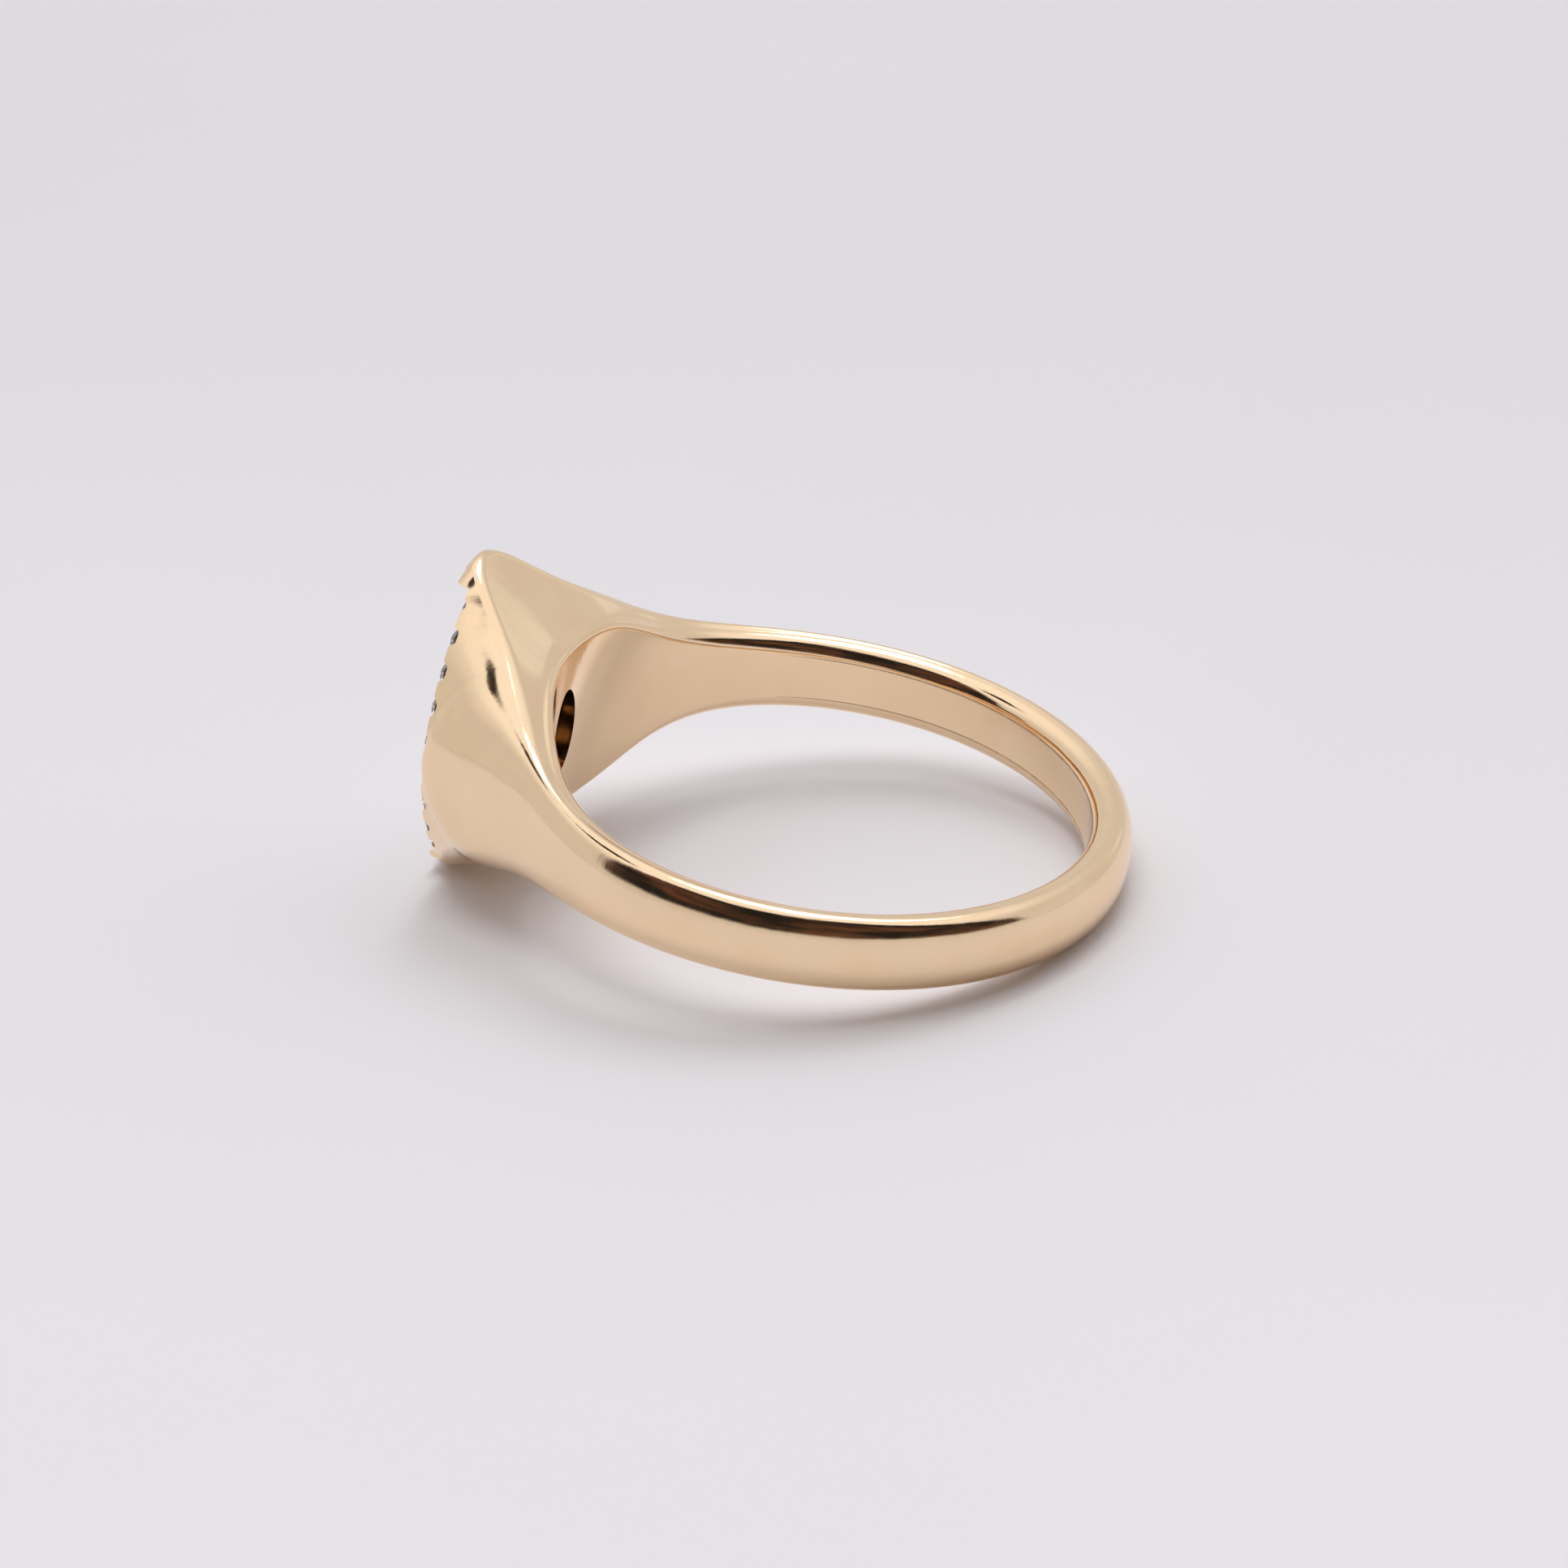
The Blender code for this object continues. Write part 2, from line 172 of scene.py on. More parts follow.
# The room that the gold reflects: pale, brighter overhead, and dark behind the camera from just above
# the table up to the lamps. The limits are parts of a direction, along the camera's heading or up.
ROOM_STRENGTH = 0.92
CEILING_LIMITS = (0.45, 0.88)
DARK_HEADING_LIMITS = (-0.16, -0.26)
DARK_LOW_LIMITS = (0.03, 0.16)
DARK_HIGH_LIMITS = (0.97, 0.90)
CLUTTER_SCALE = 3.2
CLUTTER_DETAIL = 3.0
ROOM_WINDOW_TOWARDS = Vector((0.365, 0.90, 0.25))
ROOM_WINDOW_CORE = math.radians(1.0)
ROOM_WINDOW_EDGE = math.radians(5.5)
FITTING_TOWARDS = Vector((-0.444, -0.093, 0.891))
FITTING_CORE = math.radians(5.5)
FITTING_EDGE = math.radians(7.5)

# Colours, each running from one shade to another along a noise
GOLD_SHADES = ((0.3, (0.96, 0.715, 0.46)), (0.7, (0.99, 0.755, 0.50)))
STONE_SHADES = ((0.35, (0.95, 0.945, 0.96)), (0.65, (1.0, 0.995, 1.0)))
# Table colours: the far shades are painted shade, a little darker towards the back where less light falls
FLOOR_LIT_NEAR_SHADES = ((0.3, (0.885, 0.88, 0.925)), (0.7, (0.905, 0.90, 0.94)))
FLOOR_SHADED_FAR_SHADES = ((0.3, (0.82, 0.815, 0.86)), (0.7, (0.84, 0.835, 0.875)))
ROOM_DARK_SHADES = ((0.42, (0.02, 0.018, 0.017)), (0.66, (0.12, 0.06, 0.04)))
ROOM_PALE_SHADES = ((0.3, (0.70, 0.69, 0.70)), (0.7, (0.77, 0.76, 0.77)))
ROOM_HIGH_SHADES = ((0.3, (1.04, 1.03, 1.06)), (0.7, (1.14, 1.13, 1.15)))
ROOM_WINDOW_SHADES = ((0.3, (0.84, 0.86, 0.88)), (0.7, (0.92, 0.94, 0.95)))


def fade(turn, angle, power):
    return 1.0 / (1.0 + (turn / angle) ** power)


def smooth(value, low, high):
    share = min(max((value - low) / (high - low), 0.0), 1.0)
    return share * share * (3.0 - 2.0 * share)


def face_half_width(along):
    share = min(abs(along) / (FACE_LENGTH / 2), 1.0)
    return FACE_WIDTH / 2 * (1.0 - share ** FACE_POINT) ** (1.0 / FACE_POINT)


def face_half_length(across):
    share = min(abs(across) / (FACE_WIDTH / 2), 1.0)
    return (FACE_LENGTH / 2 - TIP_ROUND) * (1.0 - share ** FACE_POINT) ** (1.0 / FACE_POINT)


def cast_level(along, rim):
    """Height of the head before the face is cut; the end lips are rounded off towards the rim."""
    lip = smooth(abs(along), SET_LENGTH / 2 - LIP_RISE, SET_LENGTH / 2)
    round_off = 1.0 - smooth(rim - abs(along), 0.0, LIP_ROUND)
    return FACE_LEVEL + FACE_SKIM + (LIP_RISE - LIP_SOFTNESS * round_off) * lip


def band_thickness(turn):
    swing = (1.0 - math.cos(2 * max(turn - math.pi / 2, 0.0))) / 2
    return BAND_SIDE_THICKNESS + (BAND_BACK_THICKNESS - BAND_SIDE_THICKNESS) * swing


def wall_form(turn, edge_radius, edge, thickness):
    """Power, end angle and reach of the wall above its crease, and the rim's height on the face."""
    if turn < SIDE_ANGLE - ANGLE_MARGIN:
        rim_height = face_half_length(FACE_LEVEL * math.tan(turn))
        rim_radius = cast_level(rim_height, rim_height) / math.cos(turn)
        end = math.acos(min(rim_height / edge, 1.0) ** (WALL_CROWN / 2))
        reach = (rim_radius - edge_radius) / math.sin(end) ** (2 / WALL_CROWN)
        return WALL_CROWN, end, reach, rim_height
    past = turn - SIDE_ANGLE
    fall = math.exp(-(past / SHOULDER_FALL) ** SHOULDER_FALL_POWER)
    side_radius = cast_level(0.0, FACE_LENGTH) / math.cos(SIDE_ANGLE)
    band_radius = FINGER_RADIUS + thickness
    power = WALL_CROWN + (BAND_CROWN - WALL_CROWN) * (1.0 - fall)
    reach = band_radius + (side_radius - band_radius) * fall - edge_radius
    return power, math.pi / 2, reach, None


def half_section(turn):
    """Upper half outline at an angle from the head, as (radius, height), and the points over the face."""
    thickness = band_thickness(turn)
    climb = fade(turn, EDGE_ANGLE, EDGE_POWER)
    widening = fade(turn, SHOULDER_ANGLE, SHOULDER_POWER)
    inner = BAND_WIDTH / 2 + (HEAD_INNER_WIDTH - BAND_WIDTH) / 2 * widening
    flat = BAND_SIDE_FLAT * thickness / BAND_SIDE_THICKNESS
    edge_radius = FINGER_RADIUS + flat + (TIP_EDGE_RISE - BAND_SIDE_FLAT) * climb
    edge = inner + (TIP_EDGE_LENGTH - HEAD_INNER_WIDTH) / 2 * climb
    edge_round = BAND_EDGE_ROUND + (HEAD_EDGE_ROUND - BAND_EDGE_ROUND) * widening
    power, end, reach, rim_height = wall_form(turn, edge_radius, edge, thickness)
    low = (FINGER_RADIUS + edge_round, inner)
    corner = (edge_radius, edge)

    def side(share):
        return (low[0] + (corner[0] - low[0]) * share, inner + (edge - inner) * share ** SIDE_HOLLOW)

    def wall(bend):
        width = max(math.cos(bend), 0.0) ** (2 / power)
        lift = math.sin(bend) ** (2 / power)
        return edge_radius + reach * lift, edge * width

    side_length = math.dist(low, corner)
    wall_length = math.dist(corner, wall(end))
    soft = min(EDGE_SOFTNESS, side_length * EDGE_SOFT_SHARE, wall_length * EDGE_SOFT_SHARE)
    side_end = 1.0 - soft / side_length
    wall_start = 0.0
    beyond = end
    for _ in range(CREASE_HALVINGS):
        middle = (wall_start + beyond) / 2
        if math.dist(corner, wall(middle)) < soft:
            wall_start = middle
        else:
            beyond = middle
    before = side(side_end)
    after = wall(wall_start)

    points = [(FINGER_RADIUS, inner * share) for share in INNER_SHARES]
    for step in range(ROUND_STEPS + 1):
        bend = math.pi / 2 * step / ROUND_STEPS
        points.append((FINGER_RADIUS + edge_round * (1 - math.cos(bend)),
                       inner - edge_round * (1 - math.sin(bend))))
    for step in range(1, SIDE_STEPS):
        points.append(side(side_end * step / SIDE_STEPS))
    for step in range(CORNER_STEPS + 1):
        share = step / CORNER_STEPS
        one = (1 - share) ** 2
        two = 2 * share * (1 - share)
        three = share ** 2
        points.append((before[0] * one + corner[0] * two + after[0] * three,
                       before[1] * one + corner[1] * two + after[1] * three))
    for step in range(1, WALL_STEPS + 1):
        points.append(wall(wall_start + (end - wall_start) * step / WALL_STEPS))
    if rim_height is None:
        points[-1] = (points[-1][0], 0.0)
        return points, []
    over = []
    for step in range(1, FACE_HALF_ROWS + 1):
        height = rim_height * (1.0 - (step / FACE_HALF_ROWS) ** FACE_CROWDING)
        over.append((cast_level(height, rim_height) / math.cos(turn), height))
    return points, over


def ring_turns():
    """Angles of the sections from the head, all the way round."""
    turns = []
    for step in range(FACE_STEPS):
        across = FACE_WIDTH / 2 * math.sin(math.pi / 2 * step / FACE_STEPS)
        turns.append(math.atan2(across, FACE_LEVEL))
    for step in range(SHOULDER_STEPS):
        share = (step / SHOULDER_STEPS) ** SHOULDER_CROWDING
        turns.append(SIDE_ANGLE + (BAND_START - SIDE_ANGLE) * share)
    for step in range(BAND_STEPS + 1):
        turns.append(BAND_START + (math.pi - BAND_START) * step / BAND_STEPS)
    return [-turn for turn in turns[-2:0:-1]] + turns


def casting_rows(mesh):
    """Points of each section: its upper half, its lower half, and the row over the face between them."""
    rows = []
    for turn in ring_turns():
        def place(radius, height, turn=turn):
            return mesh.verts.new((-radius * math.cos(turn), radius * math.sin(turn), height))

        half, over = half_section(abs(turn))
        upper = [place(radius, height) for radius, height in half]
        last = len(half) if over else len(half) - 1
        lower = [upper[0]] + [place(radius, -height) for radius, height in half[1:last]]
        if not over:
            lower.append(upper[-1])
        face = [upper[-1]] + [place(radius, height) for radius, height in over]
        face += [place(radius, -height) for radius, height in over[-2::-1]]
        if over:
            face.append(lower[-1])
        rows.append((upper, lower, face))
    return rows


def build_casting():
    """The ring before it is cut, lofted from section to section."""
    mesh = bmesh.new()
    rows = casting_rows(mesh)
    for (upper, lower, face), (upper2, lower2, face2) in zip(rows, rows[1:] + rows[:1]):
        for first, second in ((upper, upper2), (lower2, lower)):
            for index in range(len(first) - 1):
                mesh.faces.new((first[index], first[index + 1], second[index + 1], second[index]))
        if len(face) > 1 and len(face2) > 1:
            for index in range(len(face) - 1):
                mesh.faces.new((face[index], face[index + 1], face2[index + 1], face2[index]))
        elif len(face) > 1 or len(face2) > 1:
            row = face if len(face) > 1 else face2
            point = face2[0] if len(face) > 1 else face[0]
            for index in range(len(row) - 1):
                mesh.faces.new((row[index], row[index + 1], point))
    bmesh.ops.recalc_face_normals(mesh, faces=mesh.faces)
    return mesh


def face_frame(across, along):
    """Frame of a place on the face, with Z pointing out of it."""
    place = Matrix(((0.0, 0.0, -1.0), (1.0, 0.0, 0.0), (0.0, -1.0, 0.0))).to_4x4()
    place.translation = Vector((-FACE_LEVEL, across, along))
    return place


def walk_outline(half_width, half_length, offset):
    """Places a stone's pitch apart along a pointed oval, as (across, along)."""
    outline = []
    for step in range(OUTLINE_STEPS + 1):
        cosine = math.cos(math.tau * step / OUTLINE_STEPS)
        sine = math.sin(math.tau * step / OUTLINE_STEPS)
        outline.append((math.copysign(abs(cosine) ** (2 / FACE_POINT), cosine) * half_width,
                        math.copysign(abs(sine) ** (2 / FACE_POINT), sine) * half_length))
    lengths = [math.dist(first, second) for first, second in zip(outline, outline[1:])]
    count = 2 * int(sum(lengths) / STONE_PITCH / 2)
    places = []
    gone = 0.0
    for (first, second), length in zip(zip(outline, outline[1:]), lengths):
        target = (len(places) + offset) * sum(lengths) / max(count, 1)
        if len(places) < count and gone + length > target:
            share = max(target - gone, 0.0) / length
            places.append((first[0] + (second[0] - first[0]) * share,
                           first[1] + (second[1] - first[1]) * share))
        gone += length
    return places


def stone_places():
    """Name and place of each stone: three rings, and a pair in the middle."""
    across = FACE_WIDTH / 2 - RIM_INSET
    along = FACE_LENGTH / 2 - TIP_INSET
    rings = []
    for name, offset in (("rim", 0.5), ("second", 0.0), ("third", 0.5)):
        rings.append((name, walk_outline(across, along, offset)))
        across -= STONE_RING_STEP
        along -= STONE_RING_STEP * FACE_LENGTH / FACE_WIDTH
    rings.append(("centre", [(0.0, CENTRE_STONE_OFFSET), (0.0, -CENTRE_STONE_OFFSET)]))
    kept = []
    for name, places in rings:
        for number, place in enumerate(places, 1):
            if all(math.dist(place, other) > LEAST_PITCH for _, other in kept):
                kept.append((f"stone_{name}_{number}", place))
    return kept


def bead_places():
    """Places between the stones with room for a bead, the same in all four quarters of the face."""
    stones = [place for _, place in stone_places()]
    found = []
    for row in range(int(SET_LENGTH / 2 / BEAD_GRID)):
        along = row * BEAD_GRID
        for column in range(int(FACE_WIDTH / 2 / BEAD_GRID)):
            across = column * BEAD_GRID
            if 0 < across < BEAD_LEAST_OFFSET or 0 < along < BEAD_LEAST_OFFSET:
                continue
            if across > face_half_width(along) - RIM_INSET:
                continue
            gap = min(math.dist((across, along), stone) for stone in stones)
            if gap > BEAD_ROOM:
                found.append((-round(gap, 7), across, along))
    places = []
    for _, across, along in sorted(found):
        if all(math.dist((across, along), other) > BEAD_PITCH for other in places):
            places.append((across, along))
    signs = ((1, 1), (-1, 1), (1, -1), (-1, -1))
    mirrored = set()
    for across, along in places:
        mirrored.update((across * side + 0.0, along * end + 0.0) for side, end in signs)
    return sorted(mirrored)


def seat_profile():
    bore = STONE_RADIUS + SEAT_CLEARANCE
    ledge = -STONE_DEPTH - STONE_GIRDLE - SEAT_CLEARANCE
    pilot = ledge - (bore - PILOT_RADIUS) * STONE_PAVILION / STONE_RADIUS
    bottom = -STONE_DEPTH - STONE_GIRDLE - STONE_PAVILION - PILOT_DEPTH
    return [(0.0, SEAT_TOP), (bore, SEAT_TOP), (bore, ledge),
            (PILOT_RADIUS, pilot), (PILOT_RADIUS, bottom), (0.0, bottom)]


def seat_drills():
    mesh = bmesh.new()
    for _, (across, along) in stone_places():
        place = face_frame(across, along)
        rings = []
        for radius, height in seat_profile():
            count = SEAT_SIDES if radius > 0 else 1
            rings.append([
                mesh.verts.new(place @ Vector((radius * math.cos(math.tau * index / SEAT_SIDES),
                                               radius * math.sin(math.tau * index / SEAT_SIDES), height)))
                for index in range(count)
            ])
        for upper, lower in zip(rings, rings[1:]):
            for index in range(SEAT_SIDES):
                following = (index + 1) % SEAT_SIDES
                corners = [upper[index % len(upper)], lower[index % len(lower)],
                           lower[following % len(lower)], upper[following % len(upper)]]
                mesh.faces.new(list(dict.fromkeys(corners)))
    bmesh.ops.recalc_face_normals(mesh, faces=mesh.faces)
    return mesh


def bead_set():
    mesh = bmesh.new()
    for across, along in bead_places():
        bmesh.ops.create_uvsphere(mesh, u_segments=BEAD_SEGMENTS, v_segments=BEAD_RINGS, radius=BEAD_RADIUS,
                                  matrix=face_frame(across, along))
    return mesh


def face_block():
    mesh = bmesh.new()
    size = Matrix.Diagonal((FACE_CUT_DEPTH, FACE_CUT_WIDTH, SET_LENGTH, 1.0))
    place = Matrix.Translation((-FACE_LEVEL - FACE_CUT_DEPTH / 2, 0.0, 0.0))
    bmesh.ops.create_cube(mesh, size=1.0, matrix=place @ size)
    return mesh


def window_drill():
    high = FACE_LEVEL - PLATE_THICKNESS
    mesh = bmesh.new()
    turn = Matrix.Rotation(-math.pi / 2, 4, "Y")
    oval = Matrix.Diagonal((WINDOW_LENGTH / 2, WINDOW_WIDTH / 2, 1.0, 1.0))
    place = Matrix.Translation((-(WINDOW_START + high) / 2, 0.0, 0.0)) @ turn @ oval
    bmesh.ops.create_cone(mesh, cap_ends=True, segments=WINDOW_SIDES, radius1=1.0, radius2=WINDOW_FLARE,
                          depth=high - WINDOW_START, matrix=place)
    return mesh


def add_piece(mesh, name, scale=1.0):
    bmesh.ops.transform(mesh, matrix=Matrix.Scale(scale, 4) @ REST, verts=mesh.verts)
    data = bpy.data.meshes.new(name)
    mesh.to_mesh(data)
    mesh.free()
    obj = bpy.data.objects.new(name, data)
    bpy.context.scene.collection.objects.link(obj)
    return obj


def clean_cuts(data):
    """Takes out the needless points and the slivers that the cuts leave along their lines."""
    mesh = bmesh.new()
    mesh.from_mesh(data)
    needless = [vert for vert in mesh.verts if len(vert.link_edges) == 2]
    bmesh.ops.dissolve_verts(mesh, verts=needless)
    bmesh.ops.triangulate(mesh, faces=[face for face in mesh.faces if len(face.verts) > 4])
    bmesh.ops.dissolve_degenerate(mesh, dist=CUT_SLIVER, edges=mesh.edges)
    mesh.to_mesh(data)
    mesh.free()


def cut_casting():
    """The ring's gold in fine steps, cut and drilled like the solid it stands for."""
    gold = add_piece(build_casting(), "ring_gold", CUT_SCALE)
    tools = []
    steps = (("face_block", face_block, "DIFFERENCE"), ("window", window_drill, "DIFFERENCE"),
             ("seats", seat_drills, "DIFFERENCE"), ("beads", bead_set, "UNION"))
    for name, make, operation in steps:
        tool = add_piece(make(), name, CUT_SCALE)
        tools.append(tool)
        cut = gold.modifiers.new(name, "BOOLEAN")
        cut.operation = operation
        cut.solver = "EXACT"
        cut.object = tool
    graph = bpy.context.evaluated_depsgraph_get()
    data = bpy.data.meshes.new_from_object(gold.evaluated_get(graph))
    gold.modifiers.clear()
    gold.data = data
    for tool in tools:
        bpy.data.objects.remove(tool, do_unlink=True)
    clean_cuts(data)
    data.transform(Matrix.Scale(1.0 / CUT_SCALE, 4))
    data.shade_smooth()
    data.set_sharp_from_angle(angle=SHARP_ANGLE)
    return gold


def brilliant():
    """Round stone with a table, star, kite and girdle facets above, and main and lower facets below."""
    mesh = bmesh.new()
    top = -STONE_DEPTH
    low = top - STONE_GIRDLE
    girdle_sides = 2 * STONE_SIDES

    def ring(count, turn, radius, height):
        return [mesh.verts.new((radius * math.cos(math.tau * (index + turn) / count),
                                radius * math.sin(math.tau * (index + turn) / count), height))
                for index in range(count)]

    table = ring(STONE_SIDES, 0.0, STONE_RADIUS * TABLE_SHARE, top + STONE_CROWN)
    kite = ring(STONE_SIDES, 0.5, STONE_RADIUS * KITE_SHARE, top + STONE_CROWN * KITE_RISE)
    girdle = ring(girdle_sides, 0.0, STONE_RADIUS, top)
    under = ring(girdle_sides, 0.0, STONE_RADIUS, low)
    deep = ring(STONE_SIDES, 0.5, STONE_RADIUS * LOWER_SHARE, low - STONE_PAVILION * LOWER_FALL)
    culet = mesh.verts.new((0.0, 0.0, low - STONE_PAVILION))
    mesh.faces.new(table)
    for index in range(STONE_SIDES):
        following = (index + 1) % STONE_SIDES
        before = index - 1
        mesh.faces.new((table[index], table[following], kite[index]))
        mesh.faces.new((table[index], kite[before], girdle[2 * index], kite[index]))
        mesh.faces.new((kite[index], girdle[2 * index], girdle[2 * index + 1]))
        mesh.faces.new((kite[index], girdle[2 * index + 1], girdle[2 * following]))
        mesh.faces.new((deep[index], under[2 * index], under[2 * index + 1]))
        mesh.faces.new((deep[index], under[2 * index + 1], under[2 * following]))
        mesh.faces.new((under[2 * index], deep[before], culet, deep[index]))
    for index in range(girdle_sides):
        following = (index + 1) % girdle_sides
        mesh.faces.new((girdle[index], girdle[following], under[following], under[index]))
    bmesh.ops.recalc_face_normals(mesh, faces=mesh.faces)
    return mesh


def add_node(tree, kind, **settings):
    node = tree.nodes.new(kind)
    for key, value in settings.items():
        setattr(node, key, value)
    return node


def noise(tree, scale, detail, roughness=0.55, stretch=None):
    source = add_node(tree, "ShaderNodeTexCoord").outputs["Object"]
    if stretch is not None:
        mapping = add_node(tree, "ShaderNodeMapping")
        mapping.inputs["Scale"].default_value = stretch
        tree.links.new(source, mapping.inputs["Vector"])
        source = mapping.outputs["Vector"]
    texture = add_node(tree, "ShaderNodeTexNoise")
    texture.inputs["Scale"].default_value = scale
    texture.inputs["Detail"].default_value = detail
    texture.inputs["Roughness"].default_value = roughness
    tree.links.new(source, texture.inputs["Vector"])
    return texture.outputs["Fac"]


def ramp(tree, source, stops):
    node = add_node(tree, "ShaderNodeValToRGB")
    for element, (place, colour) in zip(node.color_ramp.elements, stops):
        element.position = place
        element.color = (*colour, 1.0)
    tree.links.new(source, node.inputs["Fac"])
    return node.outputs["Color"]


def spread(tree, source, low, high, start=0.3, stop=0.7):
    node = add_node(tree, "ShaderNodeMapRange")
    node.inputs["From Min"].default_value = start
    node.inputs["From Max"].default_value = stop
    node.inputs["To Min"].default_value = low
    node.inputs["To Max"].default_value = high
    tree.links.new(source, node.inputs["Value"])
    return node.outputs["Result"]


def blend(tree, share, first, second):
    node = add_node(tree, "ShaderNodeMix", data_type="RGBA")
    tree.links.new(share, node.inputs["Factor"])
    tree.links.new(first, node.inputs["A"])
    tree.links.new(second, node.inputs["B"])
    return node.outputs["Result"]


def bump(tree, height, strength, distance):
    node = add_node(tree, "ShaderNodeBump")
    node.inputs["Strength"].default_value = strength
    node.inputs["Distance"].default_value = distance
    tree.links.new(height, node.inputs["Height"])
    return node


def split(tree, vector):
    node = add_node(tree, "ShaderNodeSeparateXYZ")
    tree.links.new(vector, node.inputs["Vector"])
    return node.outputs


def new_material(name):
    material = bpy.data.materials.new(name)
    material.use_nodes = True
    tree = material.node_tree
    return material, tree, tree.nodes["Principled BSDF"]


def gold_material():
    """Polished gold with a fine haze, small scratches and a slow ripple."""
    material, tree, shader = new_material("polished_gold")
    shader.inputs["Metallic"].default_value = 1.0
    colour = ramp(tree, noise(tree, scale=420.0, detail=2.0), GOLD_SHADES)
    tree.links.new(colour, shader.inputs["Base Color"])
    haze = noise(tree, scale=2600.0, detail=5.0, roughness=0.65)
    tree.links.new(spread(tree, haze, low=0.06, high=0.14), shader.inputs["Roughness"])
    wave = noise(tree, scale=800.0, detail=2.0)
    ripple = bump(tree, wave, strength=1.0, distance=0.000012)
    scratch = noise(tree, scale=9000.0, detail=4.0, roughness=0.6, stretch=(1.0, 1.0, 0.35))
    scratches = bump(tree, scratch, strength=0.06, distance=0.00002)
    tree.links.new(ripple.outputs["Normal"], scratches.inputs["Normal"])
    tree.links.new(scratches.outputs["Normal"], shader.inputs["Normal"])
    return material


def stone_material():
    material, tree, shader = new_material("clear_stone")
    shader.inputs["Transmission Weight"].default_value = 0.96
    shader.inputs["IOR"].default_value = 2.2
    colour = ramp(tree, noise(tree, scale=900.0, detail=2.0), STONE_SHADES)
    tree.links.new(colour, shader.inputs["Base Color"])
    haze = noise(tree, scale=5000.0, detail=3.0)
    tree.links.new(spread(tree, haze, low=0.0, high=0.02), shader.inputs["Roughness"])
    return material


def floor_material():
    """Pale table, with painted shade that turns it a little greyer towards the back, where less light
    falls.
    """
    material, tree, shader = new_material("pale_table")
    shader.inputs["Roughness"].default_value = 0.62
    shader.inputs["Specular IOR Level"].default_value = 0.25
    tint = noise(tree, scale=14.0, detail=4.0)
    lit_near = ramp(tree, tint, FLOOR_LIT_NEAR_SHADES)
    shaded_far = ramp(tree, tint, FLOOR_SHADED_FAR_SHADES)
    place = split(tree, add_node(tree, "ShaderNodeNewGeometry").outputs["Position"])
    # Painted shade: blends from the near colour to the darker far colour going back, standing in for the
    # light falling off
    depth = spread(tree, place["Y"], 0.0, 1.0, FLOOR_NEAR_END, FLOOR_FAR_START)
    tree.links.new(blend(tree, depth, lit_near, shaded_far), shader.inputs["Base Color"])
    return material


def add_softbox(name, place, size, power):
    light = bpy.data.lights.new(name, "AREA")
    light.shape = "RECTANGLE"
    light.size, light.size_y = size
    light.energy = power
    light.color = LAMP_COLOUR
    obj = bpy.data.objects.new(name, light)
    bpy.context.scene.collection.objects.link(obj)
    obj.location = place
    aim = Vector(LAMP_TARGET) - Vector(place)
    obj.rotation_euler = aim.to_track_quat("-Z", "Y").to_euler()
    return obj


def step_between(tree, source, limits):
    """Smooth step from 0 at the first limit to 1 at the second."""
    node = add_node(tree, "ShaderNodeMapRange", interpolation_type="SMOOTHSTEP")
    node.inputs["From Min"].default_value, node.inputs["From Max"].default_value = limits
    tree.links.new(source, node.inputs["Value"])
    return node.outputs["Result"]


def times(tree, first, second):
    node = add_node(tree, "ShaderNodeMath", operation="MULTIPLY")
    tree.links.new(first, node.inputs[0])
    tree.links.new(second, node.inputs[1])
    return node.outputs["Value"]


def patch(tree, direction, towards, core, edge):
    """Round patch of the room in one direction, full within the core angle and gone at the edge."""
    node = add_node(tree, "ShaderNodeVectorMath", operation="DOT_PRODUCT")
    tree.links.new(direction, node.inputs[0])
    node.inputs[1].default_value = towards.normalized()
    return step_between(tree, node.outputs["Value"], (math.cos(edge), math.cos(core)))


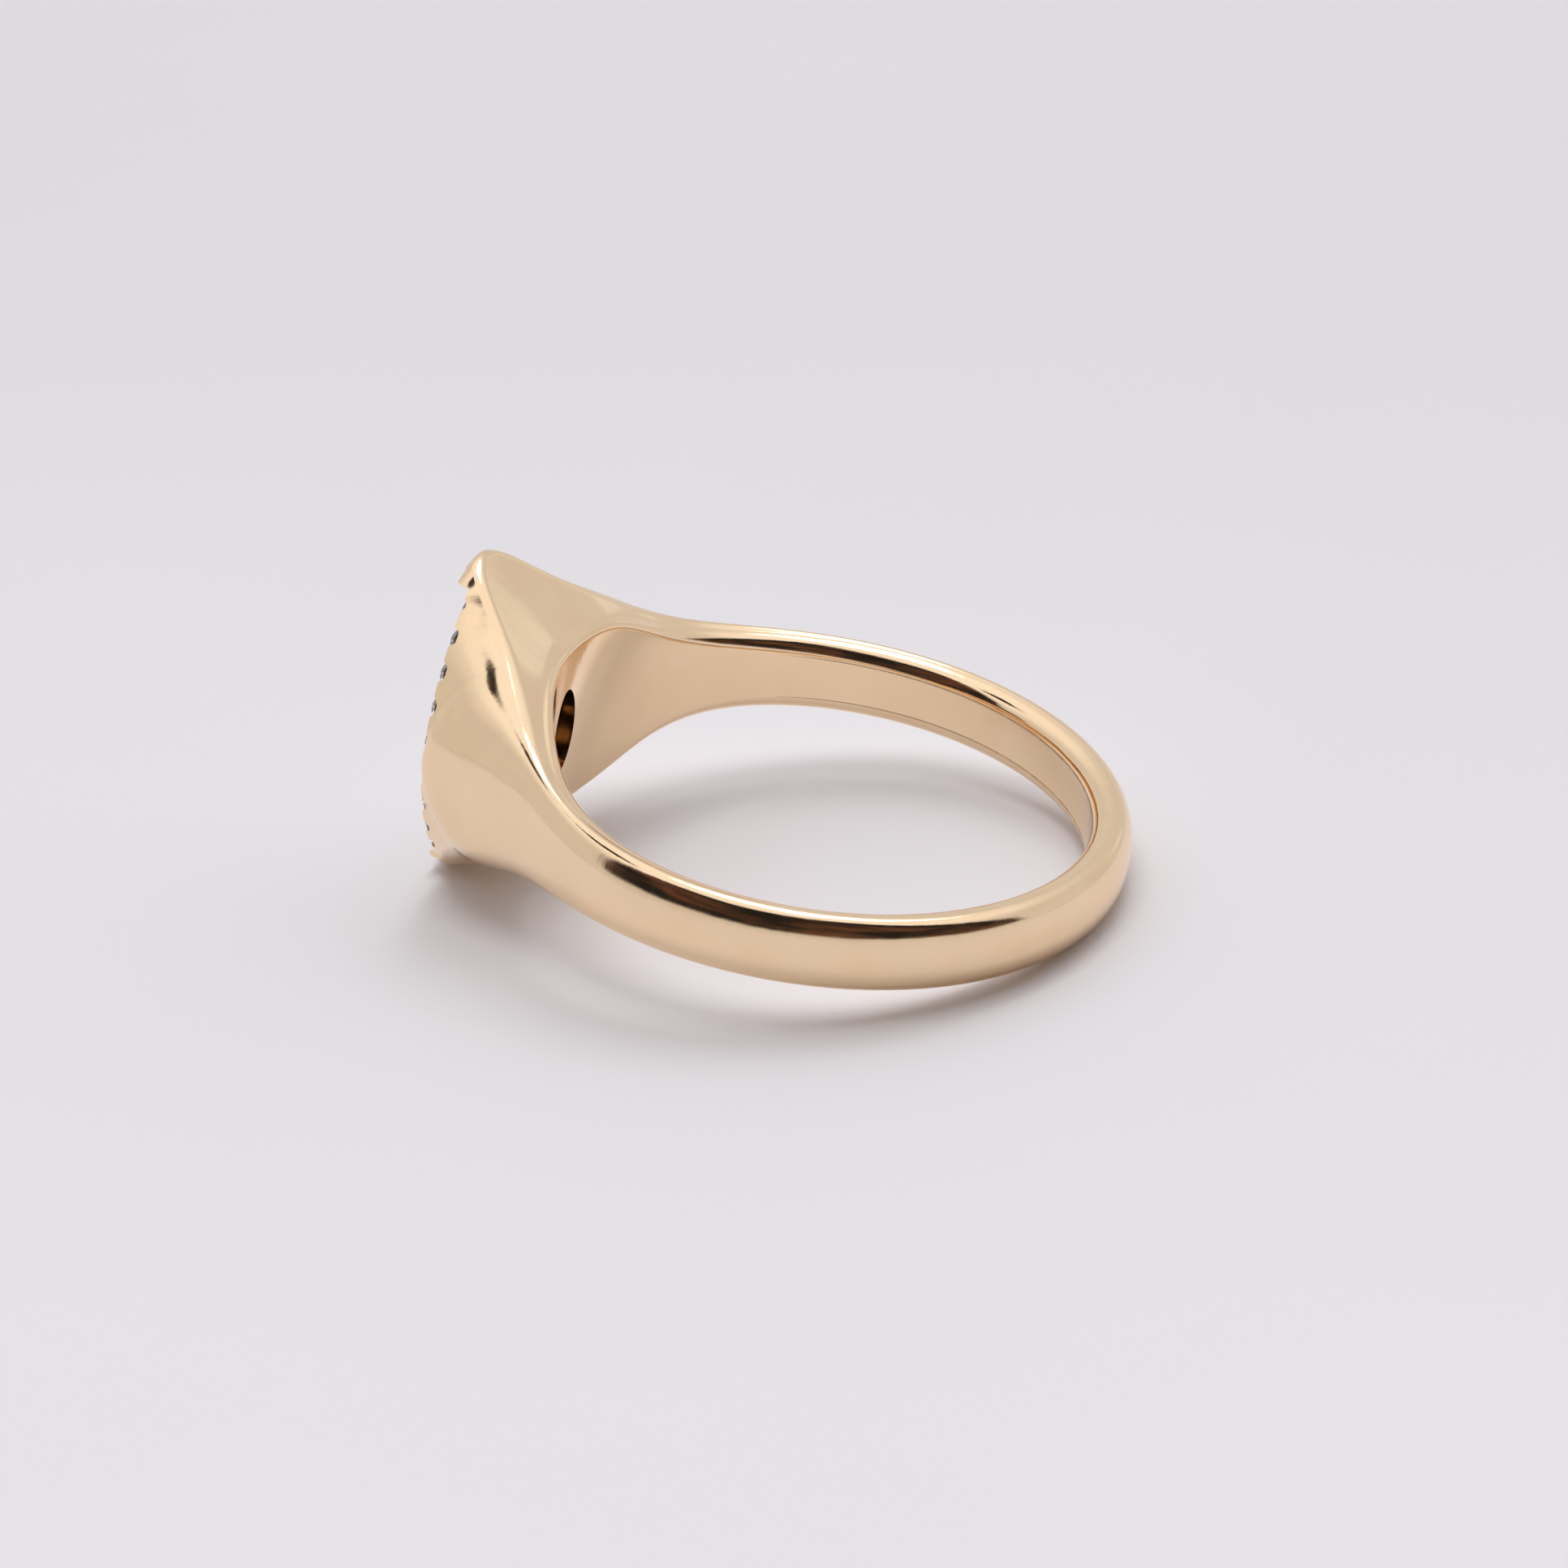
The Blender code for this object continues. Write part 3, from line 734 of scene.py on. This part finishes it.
def light_room():
    world = bpy.data.worlds.new("studio")
    bpy.context.scene.world = world
    world.use_nodes = True
    tree = world.node_tree
    direction = add_node(tree, "ShaderNodeTexCoord").outputs["Generated"]
    heading = math.atan2(-CAMERA_FORWARD.x, CAMERA_FORWARD.y)
    mapping = add_node(tree, "ShaderNodeMapping")
    mapping.inputs["Rotation"].default_value = (0.0, 0.0, -heading)
    tree.links.new(direction, mapping.inputs["Vector"])
    facing = mapping.outputs["Vector"]
    parts = split(tree, facing)
    texture = add_node(tree, "ShaderNodeTexNoise")
    texture.inputs["Scale"].default_value = CLUTTER_SCALE
    texture.inputs["Detail"].default_value = CLUTTER_DETAIL
    tree.links.new(facing, texture.inputs["Vector"])
    clutter = texture.outputs["Fac"]

    dark = ramp(tree, clutter, ROOM_DARK_SHADES)
    pale = ramp(tree, clutter, ROOM_PALE_SHADES)
    high = ramp(tree, clutter, ROOM_HIGH_SHADES)
    glow = ramp(tree, clutter, ROOM_WINDOW_SHADES)
    ceiling = step_between(tree, parts["Z"], CEILING_LIMITS)
    window = patch(tree, direction, ROOM_WINDOW_TOWARDS, ROOM_WINDOW_CORE, ROOM_WINDOW_EDGE)
    fitting = patch(tree, direction, FITTING_TOWARDS, FITTING_CORE, FITTING_EDGE)
    heights = times(tree, step_between(tree, parts["Z"], DARK_LOW_LIMITS),
                    step_between(tree, parts["Z"], DARK_HIGH_LIMITS))
    behind = times(tree, step_between(tree, parts["Y"], DARK_HEADING_LIMITS), heights)
    room = blend(tree, ceiling, pale, high)
    room = blend(tree, window, room, glow)
    room = blend(tree, behind, room, dark)
    room = blend(tree, fitting, room, dark)
    back = tree.nodes["Background"]
    tree.links.new(room, back.inputs["Color"])
    back.inputs["Strength"].default_value = ROOM_STRENGTH


def add_camera():
    data = bpy.data.cameras.new("photo_camera")
    data.sensor_width = CAMERA_SENSOR
    data.lens = CAMERA_LENS
    data.clip_start = CAMERA_NEAR
    data.clip_end = CAMERA_FAR
    camera = bpy.data.objects.new("photo_camera", data)
    bpy.context.scene.collection.objects.link(camera)
    right = CAMERA_FORWARD.cross(CAMERA_UP).normalized()
    up = right.cross(CAMERA_FORWARD).normalized()
    turn = Matrix((right, up, -CAMERA_FORWARD.normalized())).transposed().to_4x4()
    turn.translation = CAMERA_PLACE
    camera.matrix_world = turn
    bpy.context.scene.camera = camera


gold = gold_material()
stone = stone_material()
for name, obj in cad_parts.items():
    obj.data.materials.clear()
    obj.data.materials.append(gold if name == "ring_casting" else stone)

casting = cut_casting()
casting.data.materials.append(gold)
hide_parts("ring_casting")
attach(casting, "root")

for name, (across, along) in stone_places():
    mesh = brilliant()
    bmesh.ops.transform(mesh, matrix=face_frame(across, along), verts=mesh.verts)
    piece = add_piece(mesh, "cut_" + name)
    piece.data.materials.append(stone)
    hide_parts(name)
    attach(piece, "root")

bpy.ops.mesh.primitive_plane_add(size=FLOOR_SIZE, location=FLOOR_PLACE)
floor = bpy.context.object
floor.name = "table"
floor.data.materials.append(floor_material())

# The ceiling lamp gives the soft shadow, and is kept out of the reflections
ceiling_lamp = add_softbox("ceiling_lamp", CEILING_LAMP_PLACE, CEILING_LAMP_SIZE, CEILING_LAMP_POWER)
ceiling_lamp.visible_glossy = False
add_softbox("back_lamp", BACK_LAMP_PLACE, BACK_LAMP_SIZE, BACK_LAMP_POWER)
light_room()
add_camera()
bpy.context.scene.view_settings.view_transform = "Standard"
